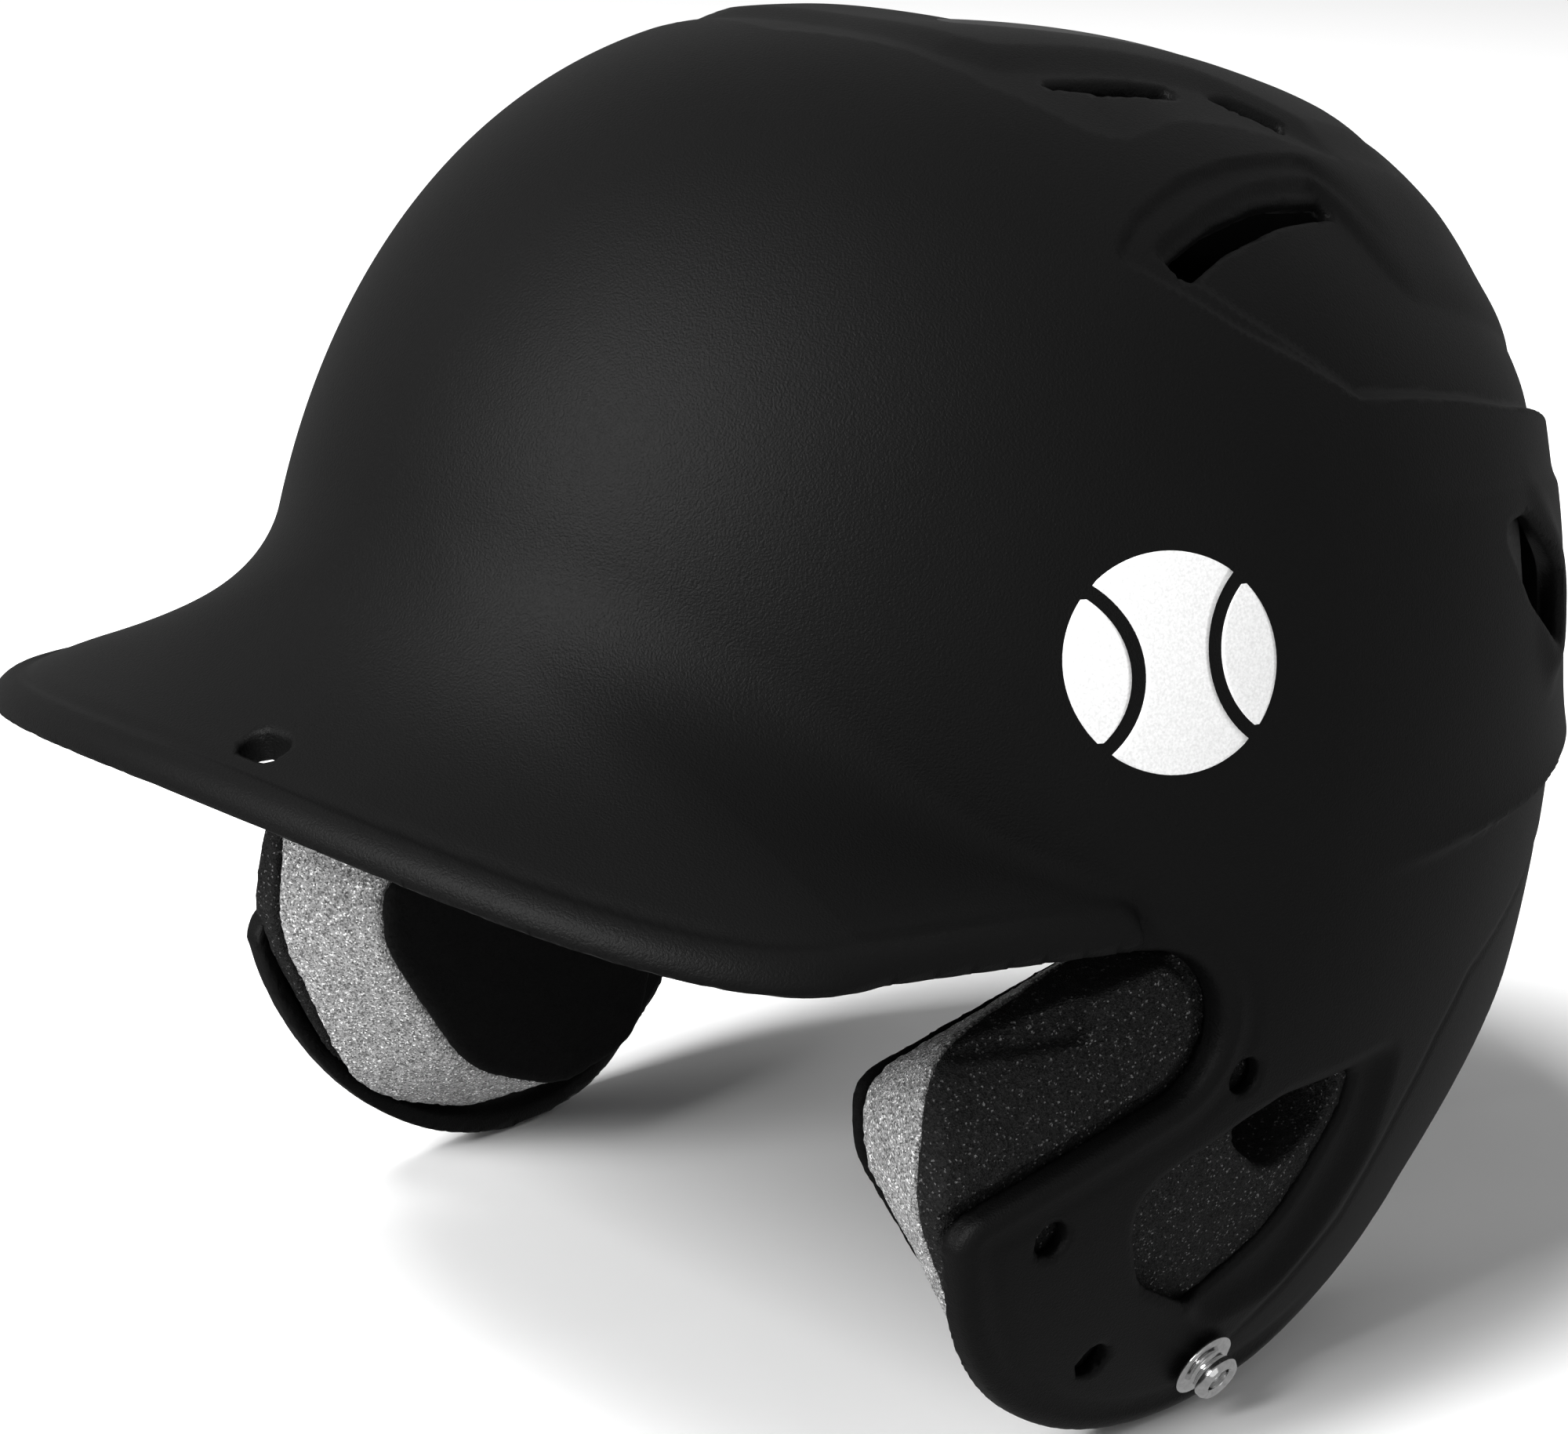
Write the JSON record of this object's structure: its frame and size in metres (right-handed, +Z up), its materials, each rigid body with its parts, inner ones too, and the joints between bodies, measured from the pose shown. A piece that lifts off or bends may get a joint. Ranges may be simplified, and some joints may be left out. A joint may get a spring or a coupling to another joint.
{
  "type": "batting helmet",
  "caption": "Double-flap batting helmet: matte moulded shell with brim and vents, foam liner, layered ear pads with ear openings and chin-strap snaps.",
  "frame": {"origin": "middle of the underside of the helmet's box, level with the lowest point of the ear flaps", "axes": "+Z up, -Y forwards along the brim, +X to the wearer's left; the YZ plane is the plane of mirror symmetry"},
  "size_m": [0.2106, 0.2726, 0.2226],
  "materials": {
    "shell_plastic": "matte, fine moulded grain",
    "liner_foam": "closed-cell foam",
    "liner_fabric": "brushed knit",
    "dark_foam": "open-cell foam, dark grey",
    "light_foam": "open-cell foam, light grey",
    "ear_fabric": "brushed fabric",
    "snap_metal": "polished plating"
  },
  "bodies": {
    "root": {"shell": "shell_plastic", "liner_front_base": "liner_foam", "liner_front_cover": "liner_fabric", "liner_crown_base": "liner_foam", "liner_crown_cover": "liner_fabric", "liner_rear_base": "liner_foam", "liner_rear_cover": "liner_fabric", "liner_left_side_base": "liner_foam", "liner_left_side_cover": "liner_fabric", "liner_right_side_base": "liner_foam", "liner_right_side_cover": "liner_fabric", "left_ear_base_foam": "dark_foam", "left_ear_core_foam": "light_foam", "left_ear_face_cover": "ear_fabric", "left_snap_stud": "snap_metal", "left_snap_eyelet": "snap_metal", "right_ear_base_foam": "dark_foam", "right_ear_core_foam": "light_foam", "right_ear_face_cover": "ear_fabric", "right_snap_stud": "snap_metal", "right_snap_eyelet": "snap_metal"}
  },
  "joints": []
}
